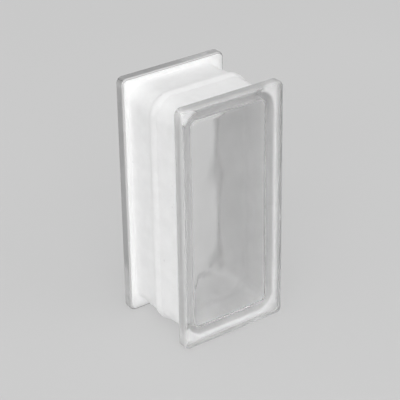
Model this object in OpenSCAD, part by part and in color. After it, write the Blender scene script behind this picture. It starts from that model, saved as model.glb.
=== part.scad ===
// Half-size hollow glass block.
// Two pressed glass halves are fused at mid depth into one sealed body. Its faces stand
// proud of a channel that runs round the four edges, and a white coating lines the channel.
// X runs across the faces, Y through the depth with the front face at -Y, and Z is up.
// The origin is the middle of the base.

/* [Block] */
// Width of the faces
block_w = 90; // [80:1:200]
// Height of the faces
block_h = 190; // [140:1:300]
// Depth from face to face
block_d = 80; // [72:1:110]

/* [Face plates] */
// Thickness of each face plate at its rim
plate_t = 9; // [7:0.5:12]
// Corner radius of the plates, seen from the front
plate_corner_r = 5; // [4:0.5:8]
// Rounding between the face and the rim
face_edge_r = 3; // [1.5:0.5:3.5]
// Rounding between the rim and the shoulder behind it
shoulder_edge_r = 1.5; // [0.5:0.5:2]

/* [Edge channel] */
// Depth of the channel below the rims beside the shoulders
channel_depth = 6; // [5:0.5:8]
// Depth of the channel below the rims at the seam, less by the draft of its floor
seam_depth = 4.6; // [3.6:0.2:5.6]
// Corner radius of the channel floor beside the shoulders, seen from the front
channel_corner_r = 14.5; // [8:0.5:18]
// Fillet between the channel floor and the shoulders
channel_fillet_r = 2; // [1:0.5:3]

/* [Seam] */
// Width of the fused bead on the channel floor
bead_w = 9; // [6:0.5:12]
// Height of the fused bead above the channel floor
bead_h = 1.6; // [0.8:0.1:2.4]
// Height of the ridge that the seam leaves inside the cavity
inner_ridge_h = 0.8; // [0.2:0.1:1.5]
// Width of that ridge
inner_ridge_w = 4; // [2:0.5:8]

/* [Cavity] */
// Mean glass thickness of each face
face_glass = 9; // [7:0.5:11]
// Wall thickness beside the faces
wall_at_face = 5.5; // [4.5:0.5:9]
// Wall thickness at the seam
wall_at_seam = 5; // [4:0.2:7]
// Corner radius of the cavity, seen from the front
cavity_corner_r = 6; // [5:0.5:12]
// Fillet between the inner faces and the walls
cavity_fillet_r = 3.5; // [2:0.5:5]

/* [Wave relief] */
// Rise of the waves above the mean inner face
wave_rise = 0.7; // [0.2:0.1:2]
// Distance from crest to crest down the face
wave_pitch = 75; // [50:1:110]
// Sideways lean of the crests, as rise over run
wave_lean = 0.8; // [0:0.1:1.5]
// Bend of the crests across the face, in degrees of a wave
wave_bend = 40; // [0:5:60]
// Distance from crest to crest of the finer cross swell
swell_pitch = 50; // [36:1:70]
// Lean of that swell, as run over rise
swell_lean = 0.6; // [0:0.1:1]
// Share of the relief that is cross swell
swell_share = 0.35; // [0:0.05:0.5]
// Margin over which the waves fade out at the edge of the face
wave_fade = 20; // [8:1:26]

/* [Edge coating] */
// Thickness of the white coating
coat_t = 0.4; // [0.2:0.1:0.8]

/* [Hidden] */
$fn = 64;

// Segments of half a cavity corner, and of the cavity's straight sides across and upright
corner_steps = 3;
across_steps = 14;
upright_steps = 36;
// Segments of the fillet round each inner face
fillet_steps = 4;

// Overlap of shapes that are joined into one
join = 1;

shoulder_y = block_d/2 - plate_t;
floor_w = block_w - 2*channel_depth;
floor_h = block_h - 2*channel_depth;
floor_rise = channel_depth - seam_depth;

// The bead is the cap of a round bar sunk into the channel floor
bead_r = (bead_w*bead_w/4 + bead_h*bead_h)/(2*bead_h);
bead_sink = bead_r - bead_h;

// Half sizes of the cavity where its walls meet the faces
face_half_w = floor_w/2 - wall_at_face;
face_half_h = floor_h/2 - wall_at_face;
inner_face_y = block_d/2 - face_glass;

grid_i = across_steps + 2*corner_steps;
grid_j = upright_steps + 2*corner_steps;
loop_n = 2*(grid_i + grid_j);
grid_n = (grid_i + 1)*(grid_j + 1);

// Carries a section round a rounded rectangle. The section's x is the distance outward from
// the centre line of the corners, and its y is the depth.
module swept_edge(w, h, corner_r) {
    run_w = w - 2*corner_r;
    run_h = h - 2*corner_r;
    for (side = [0, 180]) {
        rotate([0, side, 0]) translate([run_w/2, 0, -run_h/2]) linear_extrude(run_h) children();
        rotate([0, side - 90, 0]) translate([run_h/2, 0, -run_w/2]) linear_extrude(run_w) children();
    }
    for (flip_x = [0, 1], flip_z = [0, 1])
        mirror([flip_x, 0, 0]) mirror([0, 0, flip_z]) translate([run_w/2, 0, -run_h/2])
            rotate([-90, 0, 0]) rotate_extrude(angle = 90) children();
}

// Section of a face plate's rim, from the face at y = 0 to the shoulder at y = plate_t
module rim_section() {
    translate([0, face_edge_r])
        square([plate_corner_r, plate_t - face_edge_r - shoulder_edge_r]);
    square([plate_corner_r - face_edge_r, plate_t]);
    translate([plate_corner_r - face_edge_r, face_edge_r]) circle(face_edge_r);
    translate([0, plate_t - shoulder_edge_r - join])
        square([plate_corner_r - shoulder_edge_r, shoulder_edge_r + join]);
    translate([plate_corner_r - shoulder_edge_r, plate_t - shoulder_edge_r]) circle(shoulder_edge_r);
}

// One face plate, with its face at y = 0 and its shoulder at y = plate_t
module face_plate() {
    swept_edge(block_w, block_h, plate_corner_r)
        intersection() {
            square([2*plate_corner_r, plate_t]);
            rim_section();
        }
    translate([plate_corner_r - block_w/2, 0, plate_corner_r - block_h/2])
        cube([block_w - 2*plate_corner_r, plate_t, block_h - 2*plate_corner_r]);
}

// Section of the channel floor with its draft, bead and fillets, grown outward by the given
// amount and reaching past the shoulders by another
module floor_section(grow, reach) {
    fillet_r = channel_fillet_r - grow;
    floor_x = channel_corner_r + grow;
    seam_x = floor_x + floor_rise;
    flat_y = shoulder_y - channel_fillet_r;
    end_y = shoulder_y + reach;
    polygon([[0, -end_y], [floor_x, -end_y], [floor_x, -flat_y], [seam_x, 0],
        [floor_x, flat_y], [floor_x, end_y], [0, end_y]]);
    intersection() {
        translate([0, -bead_w]) square([seam_x + bead_w, 2*bead_w]);
        translate([seam_x - grow - bead_sink, 0]) circle(bead_r + grow);
    }
    for (flip = [0, 1])
        mirror([0, flip]) difference() {
            translate([floor_x, flat_y]) square([fillet_r, channel_fillet_r + reach]);
            translate([channel_corner_r + channel_fillet_r, flat_y]) circle(fillet_r);
        }
}

// The body between the two plates, up to the floor of the channel, sunk into both for the join
module core() {
    end_y = shoulder_y + join;
    swept_edge(floor_w, floor_h, channel_corner_r) floor_section(0, join);
    translate([channel_corner_r - floor_w/2, -end_y, channel_corner_r - floor_h/2])
        cube([floor_w - 2*channel_corner_r, 2*end_y, floor_h - 2*channel_corner_r]);
}

// Outline points of a rounded rectangle lie on a grid whose corners sit half way round its
// rounded corners. These give a side's point k along it and across it.
function from_end(steps, k) = min(k, steps + 2*corner_steps - k);
function corner_turn(k) = 45 + 45*k/corner_steps;
function outset(half, r, steps, k) =
    from_end(steps, k) < corner_steps ? half - r + r*sin(corner_turn(from_end(steps, k))) : half;
function corner_at(half, r) = half - r + r*sin(45);
function along(half, r, steps, k) =
    k < corner_steps ? r - half - r*cos(corner_turn(k)) :
    k > steps + corner_steps ? half - r + r*cos(corner_turn(from_end(steps, k))) :
    (half - r)*(2*(k - corner_steps)/steps - 1);

// Point i, j of the grid that fills a rounded rectangle, as x and z
function grid_point(half_w, half_h, r, i, j) = [
    along(half_w, r, across_steps, i)
        + (2*i/grid_i - 1)*(outset(half_w, r, upright_steps, j) - corner_at(half_w, r)),
    along(half_h, r, upright_steps, j)
        + (2*j/grid_j - 1)*(outset(half_h, r, across_steps, i) - corner_at(half_h, r))
];

// Grid indices of the outline's points, in order round the loop
loop_at = concat(
    [for (i = [0 : grid_i - 1]) [i, 0]],
    [for (j = [0 : grid_j - 1]) [grid_i, j]],
    [for (i = [grid_i : -1 : 1]) [i, grid_j]],
    [for (j = [grid_j : -1 : 1]) [0, j]]
);

// Height of the relief at a point of an inner face, zero at the face's edge
function fade(margin) = margin >= wave_fade ? 1 : (1 - cos(180*max(margin, 0)/wave_fade))/2;
function wave(x, z) =
    (1 - swell_share)*sin(360*(z + wave_lean*x)/wave_pitch + wave_bend*sin(360*x/block_w))
    + swell_share*sin(360*(x - swell_lean*z)/swell_pitch);
function relief(x, z) =
    wave_rise*wave(x, z)*fade(face_edge_w - abs(x))*fade(face_edge_h - abs(z));

face_edge_w = face_half_w - cavity_fillet_r;
face_edge_h = face_half_h - cavity_fillet_r;
face_edge_corner_r = cavity_corner_r - cavity_fillet_r;

// The two halves are one pressing, and the back one is turned about the upright axis
front_face = [for (j = [0 : grid_j], i = [0 : grid_i])
    let (p = grid_point(face_edge_w, face_edge_h, face_edge_corner_r, i, j))
        [p[0], relief(p[0], p[1]) - inner_face_y, p[1]]];
back_face = [for (j = [0 : grid_j], i = [0 : grid_i])
    let (p = grid_point(face_edge_w, face_edge_h, face_edge_corner_r, i, j))
        [p[0], inner_face_y - relief(-p[0], p[1]), p[1]]];

// Rings of the front half's wall, as inset from the wall beside the face and depth
fillet_rings = [for (k = [1 : fillet_steps])
    let (turn = 90*k/fillet_steps)
        [cavity_fillet_r*(1 - sin(turn)), cavity_fillet_r*(1 - cos(turn)) - inner_face_y]];
seam_inset = seam_depth + wall_at_seam - channel_depth - wall_at_face;
flank_ring = [[seam_inset, -inner_ridge_w/2]];
ridge_ring = [[seam_inset + inner_ridge_h, 0]];
half_rings = concat(fillet_rings, flank_ring);
rings = concat(half_rings, ridge_ring, [for (k = [len(half_rings) - 1 : -1 : 0])
    [half_rings[k][0], -half_rings[k][1]]]);

wall_points = [for (ring = rings, at = loop_at)
    let (p = grid_point(face_half_w - ring[0], face_half_h - ring[0],
        cavity_corner_r - ring[0], at[0], at[1]))
        [p[0], ring[1], p[1]]];

function on_grid(at) = at[1]*(grid_i + 1) + at[0];
function ring_point(ring, k) =
    ring < 0 ? on_grid(loop_at[k % loop_n]) :
    ring < len(rings) ? 2*grid_n + ring*loop_n + k % loop_n :
    grid_n + on_grid(loop_at[k % loop_n]);

// Hollow between the two halves, with the wave relief on both of its faces
module cavity() {
    cells = [for (j = [0 : grid_j - 1], i = [0 : grid_i - 1]) on_grid([i, j])];
    row = grid_i + 1;
    polyhedron(
        points = concat(front_face, back_face, wall_points),
        faces = concat(
            [for (c = cells) [c, c + row, c + 1]],
            [for (c = cells) [c + 1, c + row, c + row + 1]],
            [for (c = cells) [grid_n + c, grid_n + c + 1, grid_n + c + row]],
            [for (c = cells) [grid_n + c + 1, grid_n + c + row + 1, grid_n + c + row]],
            [for (ring = [-1 : len(rings) - 1], k = [0 : loop_n - 1])
                [ring_point(ring, k), ring_point(ring, k + 1), ring_point(ring + 1, k)]],
            [for (ring = [-1 : len(rings) - 1], k = [0 : loop_n - 1])
                [ring_point(ring, k + 1), ring_point(ring + 1, k + 1), ring_point(ring + 1, k)]]
        )
    );
}

// Fused glass body with its sealed cavity
module glass_body() {
    color([0.80, 0.84, 0.83, 0.45])
        translate([0, 0, block_h/2])
            difference() {
                union() {
                    for (turn = [0, 180])
                        rotate([0, 0, turn]) translate([0, -block_d/2, 0]) face_plate();
                    core();
                }
                cavity();
            }
}

// Flat coat on one shoulder, from the top of the channel fillet to the rim's rounding
module shoulder_coat() {
    edge = shoulder_edge_r;
    fillet_w = floor_w + 2*channel_fillet_r;
    fillet_h = floor_h + 2*channel_fillet_r;
    translate([0, shoulder_y, 0]) rotate([90, 0, 0]) linear_extrude(coat_t)
        difference() {
            rounded_outline(block_w - 2*edge, block_h - 2*edge, plate_corner_r - edge);
            rounded_outline(fillet_w, fillet_h, channel_corner_r + channel_fillet_r);
        }
}

// Rounded rectangle centred on the origin
module rounded_outline(w, h, r) {
    square([w, h - 2*r], center = true);
    square([w - 2*r, h], center = true);
    for (sx = [-1, 1], sy = [-1, 1])
        translate([sx*(w/2 - r), sy*(h/2 - r)]) circle(r);
}

// White coating on the channel floor, its bead and both shoulders
module edge_coating() {
    color("white")
        translate([0, 0, block_h/2]) {
            swept_edge(floor_w, floor_h, channel_corner_r)
                difference() {
                    floor_section(coat_t, 0);
                    floor_section(0, 0);
                }
            for (turn = [0, 180])
                rotate([0, 0, turn]) shoulder_coat();
        }
}

glass_body();
edge_coating();
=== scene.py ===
import math

import bpy
import numpy as np
from mathutils import Matrix, Vector


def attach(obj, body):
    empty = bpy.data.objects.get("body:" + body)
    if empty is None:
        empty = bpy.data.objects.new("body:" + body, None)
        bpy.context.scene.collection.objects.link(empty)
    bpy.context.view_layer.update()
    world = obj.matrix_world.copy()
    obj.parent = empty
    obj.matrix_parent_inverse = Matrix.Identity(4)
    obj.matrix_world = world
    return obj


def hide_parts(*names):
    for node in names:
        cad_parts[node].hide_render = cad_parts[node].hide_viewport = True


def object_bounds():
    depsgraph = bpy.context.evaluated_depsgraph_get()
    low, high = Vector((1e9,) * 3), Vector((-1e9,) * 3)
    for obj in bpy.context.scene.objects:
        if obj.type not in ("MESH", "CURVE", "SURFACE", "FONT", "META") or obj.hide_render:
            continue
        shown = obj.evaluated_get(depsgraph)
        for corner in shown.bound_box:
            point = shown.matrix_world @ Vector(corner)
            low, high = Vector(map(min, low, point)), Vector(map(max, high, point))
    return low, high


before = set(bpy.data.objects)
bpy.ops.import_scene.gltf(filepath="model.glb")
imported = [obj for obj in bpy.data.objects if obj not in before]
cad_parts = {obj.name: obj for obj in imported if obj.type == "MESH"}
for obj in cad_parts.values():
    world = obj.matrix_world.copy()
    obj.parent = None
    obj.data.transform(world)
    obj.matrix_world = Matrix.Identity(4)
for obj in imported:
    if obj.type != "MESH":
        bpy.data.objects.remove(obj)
cad_low, cad_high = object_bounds()

# Sizes of the block in metres: the whole from the frame, the rest as the solids have them
BLOCK_W, BLOCK_D, BLOCK_H = cad_high - cad_low
PLATE_T = 0.009
PLATE_CORNER_R = 0.005
FACE_EDGE_R = 0.003
SHOULDER_EDGE_R = 0.0015
CHANNEL_DEPTH = 0.006
SEAM_DEPTH = 0.0046
CHANNEL_CORNER_R = 0.0145
CHANNEL_FILLET_R = 0.002
BEAD_W = 0.009
BEAD_H = 0.0016
# Softness of the crease at the foot of the bead
BEAD_FOOT = 0.0003
INNER_RIDGE_H = 0.0008
INNER_RIDGE_W = 0.004
FACE_GLASS = 0.009
WALL_AT_FACE = 0.0055
WALL_AT_SEAM = 0.005
CAVITY_CORNER_R = 0.006
CAVITY_FILLET_R = 0.0035
# Waves of the inner faces: a lean is a slope, the bend is in degrees, and the share is the swell's
WAVE_RISE = 0.0007
WAVE_PITCH = 0.075
WAVE_LEAN = 0.8
WAVE_BEND = 40
SWELL_PITCH = 0.05
SWELL_LEAN = 0.6
SWELL_SHARE = 0.35
WAVE_FADE = 0.02
# Finer unevenness of these faces on top of the waves, in the scene alone: a sum of seeded ripples
LUMP_RISE = 0.00015
LUMP_PITCH_MIN = 0.03
LUMP_PITCH_MAX = 0.055
LUMP_RIPPLES = 8
LUMP_SEED = 11
COAT_T = 0.0004
# The coating reaches this far into the glass, so that the two are in contact with no air between
COAT_BOND = 0.00004

SHOULDER_Y = BLOCK_D / 2 - PLATE_T
FLOOR_W = BLOCK_W / 2 - CHANNEL_DEPTH
FLOOR_H = BLOCK_H / 2 - CHANNEL_DEPTH
BEAD_R = (BEAD_W ** 2 / 4 + BEAD_H ** 2) / (2 * BEAD_H)

# Segments of half a rounded corner, and of the straight sides across and upright
CORNER_STEPS = 9
ACROSS_STEPS = 34
UPRIGHT_STEPS = 80
GRID_I = ACROSS_STEPS + 2 * CORNER_STEPS
GRID_J = UPRIGHT_STEPS + 2 * CORNER_STEPS
ROUND_STEPS = 8
# Points along half the channel floor, half the bead, half a cavity wall and half the inner ridge
FLAT_POINTS = 6
BEAD_POINTS = 11
WALL_POINTS = 6
RIDGE_POINTS = 6


# Outlines: every ring of the block is a rounded rectangle with the same count of points

def side(half_along, half_out, corner_r, steps):
    """Places along one side from mid corner to mid corner, and how far out each one stands."""
    turn = np.radians(45 + 45 * np.arange(CORNER_STEPS) / CORNER_STEPS)
    straight = (half_along - corner_r) * np.linspace(-1, 1, steps + 1)
    bend = corner_r - half_along - corner_r * np.cos(turn)
    out_bend = half_out - corner_r + corner_r * np.sin(turn)
    along = np.concatenate([bend, straight, -bend[::-1]])
    out = np.concatenate([out_bend, np.full(steps + 1, half_out), out_bend[::-1]])
    return along, out


def grid(half_w, half_h, corner_r):
    """x and z of points that fill a rounded rectangle, in arrays with a row for each step up."""
    along_x, out_z = side(half_w, half_h, corner_r, ACROSS_STEPS)
    along_z, out_x = side(half_h, half_w, corner_r, UPRIGHT_STEPS)
    share_i = np.linspace(-1, 1, GRID_I + 1)
    share_j = np.linspace(-1, 1, GRID_J + 1)
    x = along_x[None, :] + share_i[None, :] * (out_x - out_x[0])[:, None]
    z = along_z[:, None] + share_j[:, None] * (out_z - out_z[0])[None, :]
    return x, z


def rim_of(values):
    """The values of a grid along its outline, in order round the loop."""
    return np.concatenate([values[0, :-1], values[:-1, -1], values[-1, :0:-1], values[:0:-1, 0]])


GRID_INDEX = np.arange((GRID_I + 1) * (GRID_J + 1)).reshape(GRID_J + 1, GRID_I + 1)
LOOP_INDEX = rim_of(GRID_INDEX)
LOOP_N = len(LOOP_INDEX)


def ring(half_w, half_h, corner_r, y):
    """Points of one ring, round the upright and level sides, with the block's middle at zero."""
    x, z = grid(half_w, half_h, corner_r)
    return np.stack([rim_of(x), np.full(LOOP_N, y), rim_of(z)], axis=1)


def quarter():
    """Sine and cosine of the steps of a quarter turn."""
    turn = np.linspace(0, math.pi / 2, ROUND_STEPS + 1)
    return list(zip(np.sin(turn), np.cos(turn)))


# Sections, as rows of inset from the rim, depth and corner radius, from the front to the middle

def plate_rows():
    """Rounding of the face, the rim and the rounding of the shoulder."""
    face_y = -BLOCK_D / 2
    back_y = face_y + PLATE_T
    rows = [(FACE_EDGE_R * (1 - s), face_y + FACE_EDGE_R * (1 - c)) for s, c in quarter()]
    rows += [(SHOULDER_EDGE_R * (1 - c), back_y - SHOULDER_EDGE_R * (1 - s)) for s, c in quarter()]
    return [(inset, y, PLATE_CORNER_R - inset) for inset, y in rows]


def bead_rise(y):
    """Height of the fused bead above the channel floor: the cap of a round bar sunk into it."""
    if abs(y) >= BEAD_W / 2:
        return 0.0
    return math.sqrt(BEAD_R ** 2 - y ** 2) - BEAD_R + BEAD_H


def channel_rows(grow):
    """Shoulder, fillet, floor and bead of the front half, grown outward from the glass."""
    radius = CHANNEL_FILLET_R - grow
    top_y = -SHOULDER_Y + grow
    foot = CHANNEL_DEPTH - grow
    rows = [(foot - radius * (1 - s), top_y + radius * (1 - c)) for s, c in quarter()]
    start_y = top_y + radius
    flat = np.linspace(start_y, -BEAD_W / 2 - BEAD_FOOT, FLAT_POINTS)[1:]
    bead = np.linspace(-BEAD_W / 2, 0, BEAD_POINTS)
    for y in np.concatenate([flat, bead]):
        draft = (CHANNEL_DEPTH - SEAM_DEPTH) * (y - start_y) / -start_y
        rows.append((foot - draft - bead_rise(y), y))
    return [(inset, y, CHANNEL_CORNER_R + CHANNEL_DEPTH - inset) for inset, y in rows]


def both_halves(rows):
    """The rows of a front half, followed by the same rows mirrored for the back half."""
    return rows + [(inset, -y, corner) for inset, y, corner in rows[-2::-1]]


def rings_of(rows):
    """A ring of points for each row of a section."""
    return [ring(BLOCK_W / 2 - inset, BLOCK_H / 2 - inset, corner, y) for inset, y, corner in rows]


# Meshes

def strip_faces(first, second):
    """Faces between two rings of point numbers."""
    return [(first[k], first[k - 1], second[k - 1], second[k]) for k in range(len(first))]


def grid_faces(start, flip):
    """Faces of a filled grid whose points begin at a number."""
    n = GRID_INDEX + start
    quads = zip(n[:-1, :-1].ravel(), n[:-1, 1:].ravel(), n[1:, 1:].ravel(), n[1:, :-1].ravel())
    return [q[::-1] if flip else q for q in quads]


def closed_shell(front, rings, back, inward):
    """Points and faces of a shell between two filled faces, whose outlines the rings join."""
    size = len(front)
    points = np.concatenate([front, back] + rings)
    numbers = [LOOP_INDEX]
    numbers += [2 * size + k * LOOP_N + np.arange(LOOP_N) for k in range(len(rings))]
    numbers += [LOOP_INDEX + size]
    faces = grid_faces(0, inward) + grid_faces(size, not inward)
    for first, second in zip(numbers, numbers[1:]):
        faces += [f[::-1] if inward else f for f in strip_faces(first, second)]
    return points, faces


def new_piece(name, points, faces, material):
    """A smooth mesh piece, raised so that the block stands on its base."""
    mesh = bpy.data.meshes.new(name)
    placed = points + np.array([0, 0, BLOCK_H / 2])
    mesh.from_pydata(placed.tolist(), [], [[int(k) for k in f] for f in faces])
    mesh.validate()
    mesh.polygons.foreach_set("use_smooth", [True] * len(mesh.polygons))
    mesh.materials.append(material)
    piece = bpy.data.objects.new(name, mesh)
    bpy.context.scene.collection.objects.link(piece)
    return piece


def flat_face(half_w, half_h, corner_r, depth_at):
    """Points of a filled face, whose depth a function gives at each place."""
    x, z = grid(half_w, half_h, corner_r)
    return np.stack([x.ravel(), depth_at(x, z).ravel(), z.ravel()], axis=1)


def fade(margin):
    """Soft step from nought at the edge of a face to one at the fade's width from it."""
    return (1 - np.cos(math.pi * np.clip(margin / WAVE_FADE, 0, 1))) / 2


FACE_HALF_W = FLOOR_W - WALL_AT_FACE
FACE_HALF_H = FLOOR_H - WALL_AT_FACE
FACE_EDGE_W = FACE_HALF_W - CAVITY_FILLET_R
FACE_EDGE_H = FACE_HALF_H - CAVITY_FILLET_R
INNER_FACE_Y = BLOCK_D / 2 - FACE_GLASS


def lumps(x, z):
    """Height of the finer unevenness, from ripples that run in all directions."""
    draw = np.random.default_rng(LUMP_SEED)
    height = np.zeros_like(x)
    for _ in range(LUMP_RIPPLES):
        heading = draw.uniform(0, math.pi)
        pitch = draw.uniform(LUMP_PITCH_MIN, LUMP_PITCH_MAX)
        phase = draw.uniform(0, 2 * math.pi)
        along = x * math.cos(heading) + z * math.sin(heading)
        height += np.sin(2 * math.pi * along / pitch + phase)
    return LUMP_RISE * height / math.sqrt(LUMP_RIPPLES)


def relief(x, z):
    """Height of the pressed waves and lumps on an inner face."""
    turn = 2 * math.pi
    bend = np.radians(WAVE_BEND) * np.sin(turn * x / BLOCK_W)
    wave = (1 - SWELL_SHARE) * np.sin(turn * (z + WAVE_LEAN * x) / WAVE_PITCH + bend)
    wave += SWELL_SHARE * np.sin(turn * (x - SWELL_LEAN * z) / SWELL_PITCH)
    height = WAVE_RISE * wave + lumps(x, z)
    return height * fade(FACE_EDGE_W - abs(x)) * fade(FACE_EDGE_H - abs(z))


def glass_shells():
    """Points and faces of the outer skin and of the sealed cavity, as one mesh."""
    edge = FACE_EDGE_R
    outline = (BLOCK_W / 2 - edge, BLOCK_H / 2 - edge, PLATE_CORNER_R - edge)
    front = flat_face(*outline, lambda x, z: np.full_like(x, -BLOCK_D / 2))
    back = flat_face(*outline, lambda x, z: np.full_like(x, BLOCK_D / 2))
    rows = both_halves(plate_rows()[1:] + channel_rows(0))
    points, faces = closed_shell(front, rings_of(rows), back, inward=False)

    outline = (FACE_EDGE_W, FACE_EDGE_H, CAVITY_CORNER_R - CAVITY_FILLET_R)
    front = flat_face(*outline, lambda x, z: relief(x, z) - INNER_FACE_Y)
    back = flat_face(*outline, lambda x, z: INNER_FACE_Y - relief(-x, z))
    wall = CHANNEL_DEPTH + WALL_AT_FACE
    seam = SEAM_DEPTH + WALL_AT_SEAM
    radius = CAVITY_FILLET_R
    rows = [(wall + radius * (1 - s), radius * (1 - c) - INNER_FACE_Y) for s, c in quarter()[1:]]
    start_y = rows[-1][1]
    ridge_y = -INNER_RIDGE_W / 2
    for share in np.linspace(0, 1, WALL_POINTS)[1:]:
        rows.append((wall + (seam - wall) * share, start_y + (ridge_y - start_y) * share))
    for share in np.linspace(0, 1, RIDGE_POINTS)[1:]:
        rise = INNER_RIDGE_H * math.sin(share * math.pi / 2) ** 2
        rows.append((seam + rise, ridge_y * (1 - share)))
    rows = [(inset, y, CAVITY_CORNER_R + wall - inset) for inset, y in rows]
    rings = rings_of(both_halves(rows))
    cavity_points, cavity_faces = closed_shell(front, rings, back, inward=True)
    shift = len(points)
    faces += [[k + shift for k in f] for f in cavity_faces]
    return np.concatenate([points, cavity_points]), faces


def coating_shell():
    """Points and faces of the coating: out along its surface and back along the glass."""
    def rows(grow):
        end = (SHOULDER_EDGE_R, -SHOULDER_Y + grow, PLATE_CORNER_R - SHOULDER_EDGE_R)
        return both_halves([end] + channel_rows(grow))
    rings = rings_of(rows(COAT_T)) + rings_of(rows(-COAT_BOND))[::-1]
    numbers = [k * LOOP_N + np.arange(LOOP_N) for k in range(len(rings))]
    faces = []
    for first, second in zip(numbers, numbers[1:] + numbers[:1]):
        faces += strip_faces(first, second)
    return np.concatenate(rings), faces


# Materials, from short helpers that add a node and give back its output

def feed(tree, value, socket):
    """Link an output to an input, or set the input to a plain value."""
    if isinstance(value, bpy.types.NodeSocket):
        tree.links.new(value, socket)
    else:
        socket.default_value = value


def math_node(tree, operation, first, second):
    """A sum, product or other operation on two numbers."""
    node = tree.nodes.new("ShaderNodeMath")
    node.operation = operation
    feed(tree, first, node.inputs[0])
    feed(tree, second, node.inputs[1])
    return node.outputs[0]


def vector_node(tree, operation, first, second):
    """The same for two vectors."""
    node = tree.nodes.new("ShaderNodeVectorMath")
    node.operation = operation
    feed(tree, first, node.inputs[0])
    feed(tree, second, node.inputs[1])
    return node.outputs[0]


def ramp(tree, value, start, end, low, high):
    """Smooth step of a value from one range to another."""
    node = tree.nodes.new("ShaderNodeMapRange")
    node.interpolation_type = "SMOOTHSTEP"
    for socket, number in zip(node.inputs[1:5], (start, end, low, high)):
        socket.default_value = number
    feed(tree, value, node.inputs["Value"])
    return node.outputs["Result"]


def blend(tree, share, first, second):
    """The first value at a share of nought, the second at one."""
    node = tree.nodes.new("ShaderNodeMix")
    feed(tree, share, node.inputs["Factor"])
    feed(tree, first, node.inputs["A"])
    feed(tree, second, node.inputs["B"])
    return node.outputs["Result"]


def place_of(tree):
    """Place on the piece in metres, in the frame of the block."""
    return tree.nodes.new("ShaderNodeTexCoord").outputs["Object"]


def noise(tree, size, detail):
    """Soft noise whose lumps are about a size in metres."""
    node = tree.nodes.new("ShaderNodeTexNoise")
    feed(tree, place_of(tree), node.inputs["Vector"])
    node.inputs["Scale"].default_value = 1 / size
    node.inputs["Detail"].default_value = detail
    return node.outputs["Fac"]


def grey(tree, value):
    """A colour with the same value in red, green and blue."""
    node = tree.nodes.new("ShaderNodeCombineColor")
    for socket in node.inputs[:3]:
        feed(tree, value, socket)
    return node.outputs["Color"]


def bump(tree, height, distance):
    """Surface direction tilted by a height pattern."""
    node = tree.nodes.new("ShaderNodeBump")
    node.inputs["Distance"].default_value = distance
    feed(tree, height, node.inputs["Height"])
    return node.outputs["Normal"]


def new_material(name):
    """A material, its nodes and its main shader."""
    material = bpy.data.materials.new(name)
    material.use_nodes = True
    return material, material.node_tree, material.node_tree.nodes["Principled BSDF"]


def outward(tree):
    """How far a point is past the edges of the faces: nought on a rim, and below nought inside."""
    middle = vector_node(tree, "SUBTRACT", place_of(tree), (0, 0, BLOCK_H / 2))
    size = tree.nodes.new("ShaderNodeVectorMath")
    size.operation = "ABSOLUTE"
    feed(tree, middle, size.inputs[0])
    past = vector_node(tree, "SUBTRACT", size.outputs[0], (BLOCK_W / 2, 0, BLOCK_H / 2))
    split = tree.nodes.new("ShaderNodeSeparateXYZ")
    feed(tree, past, split.inputs[0])
    return math_node(tree, "MAXIMUM", split.outputs["X"], split.outputs["Z"])


# Range of noise values that soft patterns spread over
NOISE_LOW = 0.3
NOISE_HIGH = 0.7

GLASS_IOR = 1.5
GLASS_TINT = 0.9
GLASS_DENSITY = 8
# Satin skin of the rims: how far it reaches in, how clear, grey and rough it is, and how patchy
RIM_REACH = 0.0025
RIM_CLEAR = 0.44
RIM_GREY = 0.57
RIM_ROUGH = 0.12
RIM_PATCHY = 0.15
# Inner faces as pressed: less polished than the outer ones
INNER_ROUGH = 0.14
# Faint clouds in the glass, and faint lumps and patches of wear on its faces
GLASS_CLOUD_SIZE = 0.02
GLASS_CLOUD_LOW = 0.97
FACE_LUMP_SIZE = 0.016
FACE_LUMP_RISE = 0.0001
FACE_WEAR_SIZE = 0.03
FACE_WEAR_START = 0.5
FACE_WEAR_END = 0.8
FACE_ROUGH = 0.03


def inner_faces(tree):
    """One on the inner faces, a little less on the cavity's walls, nought outside the block."""
    split = tree.nodes.new("ShaderNodeSeparateXYZ")
    feed(tree, place_of(tree), split.inputs[0])
    from_middle = math_node(tree, "ABSOLUTE", split.outputs["Y"], 0)
    trough_y = INNER_FACE_Y + WAVE_RISE + 2 * LUMP_RISE
    deep = ramp(tree, from_middle, trough_y, BLOCK_D / 2, 1, 0)
    within = ramp(tree, outward(tree), -CHANNEL_DEPTH - WALL_AT_FACE, -CHANNEL_DEPTH, 1, 0)
    return math_node(tree, "MULTIPLY", deep, within)


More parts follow.
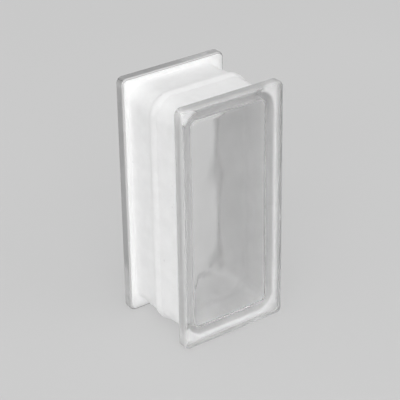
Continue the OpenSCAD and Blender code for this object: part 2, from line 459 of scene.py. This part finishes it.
def clear_glass():
    """Pressed glass: polished outside, softer and uneven inside, with a satin skin on the rims."""
    material, tree, shader = new_material("clear_glass")
    shader.inputs["IOR"].default_value = GLASS_IOR
    inner = inner_faces(tree)
    cloud = noise(tree, GLASS_CLOUD_SIZE, detail=2)
    rim = ramp(tree, outward(tree), -RIM_REACH, 0, 0, 1)
    patches = ramp(tree, cloud, NOISE_LOW, NOISE_HIGH, 1 - RIM_PATCHY, 1 + RIM_PATCHY)
    skin = math_node(tree, "MULTIPLY", rim, patches)

    loss = math_node(tree, "MULTIPLY", skin, 1 - RIM_CLEAR)
    feed(tree, math_node(tree, "SUBTRACT", 1, loss), shader.inputs["Transmission Weight"])

    rough = math_node(tree, "MULTIPLY", skin, RIM_ROUGH)
    pressed = math_node(tree, "MULTIPLY", inner, INNER_ROUGH)
    worn = noise(tree, FACE_WEAR_SIZE, detail=3)
    wear = ramp(tree, worn, FACE_WEAR_START, FACE_WEAR_END, 0, FACE_ROUGH)
    rough = math_node(tree, "ADD", rough, math_node(tree, "ADD", pressed, wear))
    feed(tree, rough, shader.inputs["Roughness"])

    dim = math_node(tree, "MULTIPLY", skin, 1 - RIM_GREY)
    clouds = ramp(tree, cloud, NOISE_LOW, NOISE_HIGH, GLASS_CLOUD_LOW, 1)
    pale = math_node(tree, "SUBTRACT", clouds, dim)
    feed(tree, grey(tree, pale), shader.inputs["Base Color"])

    faint = noise(tree, FACE_LUMP_SIZE, detail=1)
    feed(tree, bump(tree, faint, FACE_LUMP_RISE), shader.inputs["Normal"])

    body = tree.nodes.new("ShaderNodeVolumeAbsorption")
    body.inputs["Color"].default_value = (GLASS_TINT, GLASS_TINT, GLASS_TINT, 1)
    body.inputs["Density"].default_value = GLASS_DENSITY
    feed(tree, body.outputs[0], tree.nodes["Material Output"].inputs["Volume"])
    return material


# White of the coat, from cloud to cloud, and the size of the clouds
COAT_DARK = 0.9
COAT_PALE = 0.95
COAT_CLOUD_SIZE = 0.012
# Faint marks: their spacing, their edge from full to none as a share of it, the patches that they
# lie in, and how dark they are
MARK_SPACING = 0.007
MARK_FULL = 0.06
MARK_NONE = 0.2
MARK_PATCH_SIZE = 0.04
MARK_PATCH_START = 0.56
MARK_PATCH_END = 0.66
MARK_DARK = 0.14
# Patches of gloss: their size, and the roughness from one to the next
COAT_GLOSS_SIZE = 0.008
COAT_ROUGH_LOW = 0.45
COAT_ROUGH_HIGH = 0.65
# Sprayed surface: swells, how many times the grain's height they have, and the finer grain
COAT_SWELL_SIZE = 0.009
COAT_SWELL_TIMES = 3
COAT_GRAIN_SIZE = 0.0012
COAT_GRAIN_RISE = 0.00012
# How far light spreads within the coat
COAT_GLOW = 0.0018


def white_coating():
    """Sprayed white coat: soft clouds, a fine grain and a few faint marks, thin enough to glow."""
    material, tree, shader = new_material("white_coating")
    clouds = noise(tree, COAT_CLOUD_SIZE, detail=3)
    pale = ramp(tree, clouds, NOISE_LOW, NOISE_HIGH, COAT_DARK, COAT_PALE)
    marks = tree.nodes.new("ShaderNodeTexVoronoi")
    feed(tree, place_of(tree), marks.inputs["Vector"])
    marks.inputs["Scale"].default_value = 1 / MARK_SPACING
    spot = ramp(tree, marks.outputs["Distance"], MARK_FULL, MARK_NONE, 1, 0)
    spread = noise(tree, MARK_PATCH_SIZE, detail=1)
    patch = ramp(tree, spread, MARK_PATCH_START, MARK_PATCH_END, 0, MARK_DARK)
    mark = math_node(tree, "MULTIPLY", spot, patch)
    feed(tree, grey(tree, math_node(tree, "SUBTRACT", pale, mark)), shader.inputs["Base Color"])

    gloss = noise(tree, COAT_GLOSS_SIZE, detail=3)
    rough = ramp(tree, gloss, NOISE_LOW, NOISE_HIGH, COAT_ROUGH_LOW, COAT_ROUGH_HIGH)
    feed(tree, rough, shader.inputs["Roughness"])

    swell = noise(tree, COAT_SWELL_SIZE, detail=2)
    grain = noise(tree, COAT_GRAIN_SIZE, detail=3)
    height = math_node(tree, "ADD", math_node(tree, "MULTIPLY", swell, COAT_SWELL_TIMES), grain)
    feed(tree, bump(tree, height, COAT_GRAIN_RISE), shader.inputs["Normal"])

    shader.inputs["Subsurface Weight"].default_value = 1
    shader.inputs["Subsurface Radius"].default_value = (1, 1, 1)
    shader.inputs["Subsurface Scale"].default_value = COAT_GLOW
    return material


# Grey of the background, and the share of it in what each kind of ray sees of the floor, with the lit
# floor as the rest: rays from the camera, rays in or off the glass, and bounced light
BACKGROUND = 0.597
SEEN_BY_CAMERA = 0.65
SEEN_IN_GLASS = 0.85
SEEN_BY_LIGHT = 0.8
# Faint patches of the floor: their size, and its grey from one to the next
FLOOR_PATCH_SIZE = 0.4
FLOOR_DARK = 0.57
FLOOR_PALE = 0.595
FLOOR_ROUGH = 0.9


def grey_floor():
    """Floor that shows the background's grey evenly, with a soft shadow from its lit share."""
    material, tree, shader = new_material("grey_floor")
    patches = noise(tree, FLOOR_PATCH_SIZE, detail=2)
    tone = ramp(tree, patches, NOISE_LOW, NOISE_HIGH, FLOOR_DARK, FLOOR_PALE)
    feed(tree, grey(tree, tone), shader.inputs["Base Color"])
    shader.inputs["Roughness"].default_value = FLOOR_ROUGH
    shader.inputs["Specular IOR Level"].default_value = 0
    path = tree.nodes.new("ShaderNodeLightPath").outputs
    glow = tree.nodes.new("ShaderNodeEmission")
    glow.inputs["Color"].default_value = (BACKGROUND, BACKGROUND, BACKGROUND, 1)
    in_glass = math_node(tree, "MAXIMUM", path["Is Glossy Ray"], path["Is Transmission Ray"])
    share = blend(tree, in_glass, SEEN_BY_LIGHT, SEEN_IN_GLASS)
    share = blend(tree, path["Is Camera Ray"], share, SEEN_BY_CAMERA)
    mix = tree.nodes.new("ShaderNodeMixShader")
    feed(tree, share, mix.inputs["Fac"])
    feed(tree, shader.outputs[0], mix.inputs[1])
    feed(tree, glow.outputs[0], mix.inputs[2])
    feed(tree, mix.outputs[0], tree.nodes["Material Output"].inputs["Surface"])
    return material


glass = new_piece("glass_block", *glass_shells(), clear_glass())
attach(glass, "root")
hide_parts("glass_body")

coating = new_piece("channel_coating", *coating_shell(), white_coating())
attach(coating, "root")
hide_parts("edge_coating")


# Stage

FLOOR_SIZE = 6.0
# Air under the base, so that its faces and the floor's never coincide
FLOOR_GAP = 0.0002
bpy.ops.mesh.primitive_plane_add(size=FLOOR_SIZE, location=(0, 0, -FLOOR_GAP))
floor = bpy.context.object
floor.name = "floor"
floor.data.materials.append(grey_floor())

# Key light: from the left, in front and above
KEY_DIRECTION = Vector((-0.50, -0.70, 0.50)).normalized()
KEY_DISTANCE = 3
KEY_SIZE = 2.4
KEY_POWER = 39
# Level of the sky away from the key and towards it, and where the rise starts, as a cosine
SKY_DARK = 0.46
SKY_BRIGHT = 1.2
SKY_START = -0.4
# Sky for rays that have passed through glass: so many times brighter high up, and the background's
# grey low down, with the change between two heights
SKY_THROUGH = 2.9
SKY_LOW = 0.1
SKY_HIGH = 0.4


def studio_world():
    """Soft light that grows towards the key, with the plain background for the camera."""
    world = bpy.data.worlds.new("studio")
    world.use_nodes = True
    tree = world.node_tree
    heading = tree.nodes.new("ShaderNodeTexCoord").outputs["Generated"]
    toward = tree.nodes.new("ShaderNodeVectorMath")
    toward.operation = "DOT_PRODUCT"
    feed(tree, heading, toward.inputs[0])
    toward.inputs[1].default_value = KEY_DIRECTION
    level = ramp(tree, toward.outputs["Value"], SKY_START, 1, SKY_DARK, SKY_BRIGHT)
    split = tree.nodes.new("ShaderNodeSeparateXYZ")
    feed(tree, heading, split.inputs[0])
    high = ramp(tree, split.outputs["Z"], SKY_LOW, SKY_HIGH, 0, 1)
    through = blend(tree, high, BACKGROUND, math_node(tree, "MULTIPLY", level, SKY_THROUGH))
    path = tree.nodes.new("ShaderNodeLightPath").outputs
    seen = blend(tree, path["Is Transmission Ray"], level, through)
    back = tree.nodes["Background"]
    back.inputs["Color"].default_value = (1, 1, 1, 1)
    feed(tree, blend(tree, path["Is Camera Ray"], seen, BACKGROUND), back.inputs["Strength"])
    return world


bpy.context.scene.world = studio_world()


def soft_box(name, at, aim, size, power):
    """A large square lamp at a place, turned to a point."""
    lamp = bpy.data.lights.new(name, "AREA")
    lamp.shape = "SQUARE"
    lamp.size = size
    lamp.energy = power
    piece = bpy.data.objects.new(name, lamp)
    piece.location = at
    piece.rotation_euler = (at - aim).to_track_quat("Z", "Y").to_euler()
    bpy.context.scene.collection.objects.link(piece)
    return piece


soft_box("key", KEY_DISTANCE * KEY_DIRECTION, Vector((0, 0, BLOCK_H / 2)), KEY_SIZE, KEY_POWER)

# Camera, as fitted to the block's edges in the photograph
CAMERA_AT = Vector((-0.59696, -0.81531, 0.61778))
CAMERA_AZIMUTH = math.radians(-36.16)
CAMERA_ELEVATION = math.radians(27.42)
CAMERA_ROLL = math.radians(-0.94)
FOCAL_PIXELS = 1556.0
IMAGE_PIXELS = 400
SENSOR_MM = 36

camera = bpy.data.objects.new("camera", bpy.data.cameras.new("camera"))
bpy.context.scene.collection.objects.link(camera)
camera.data.sensor_width = SENSOR_MM
camera.data.lens = FOCAL_PIXELS / IMAGE_PIXELS * SENSOR_MM
back = Vector((math.sin(CAMERA_AZIMUTH) * math.cos(CAMERA_ELEVATION),
               -math.cos(CAMERA_AZIMUTH) * math.cos(CAMERA_ELEVATION),
               math.sin(CAMERA_ELEVATION)))
camera.matrix_world = (Matrix.Translation(CAMERA_AT)
                       @ back.to_track_quat("Z", "Y").to_matrix().to_4x4()
                       @ Matrix.Rotation(CAMERA_ROLL, 4, "Z"))
bpy.context.scene.camera = camera
bpy.context.scene.view_settings.view_transform = "Standard"
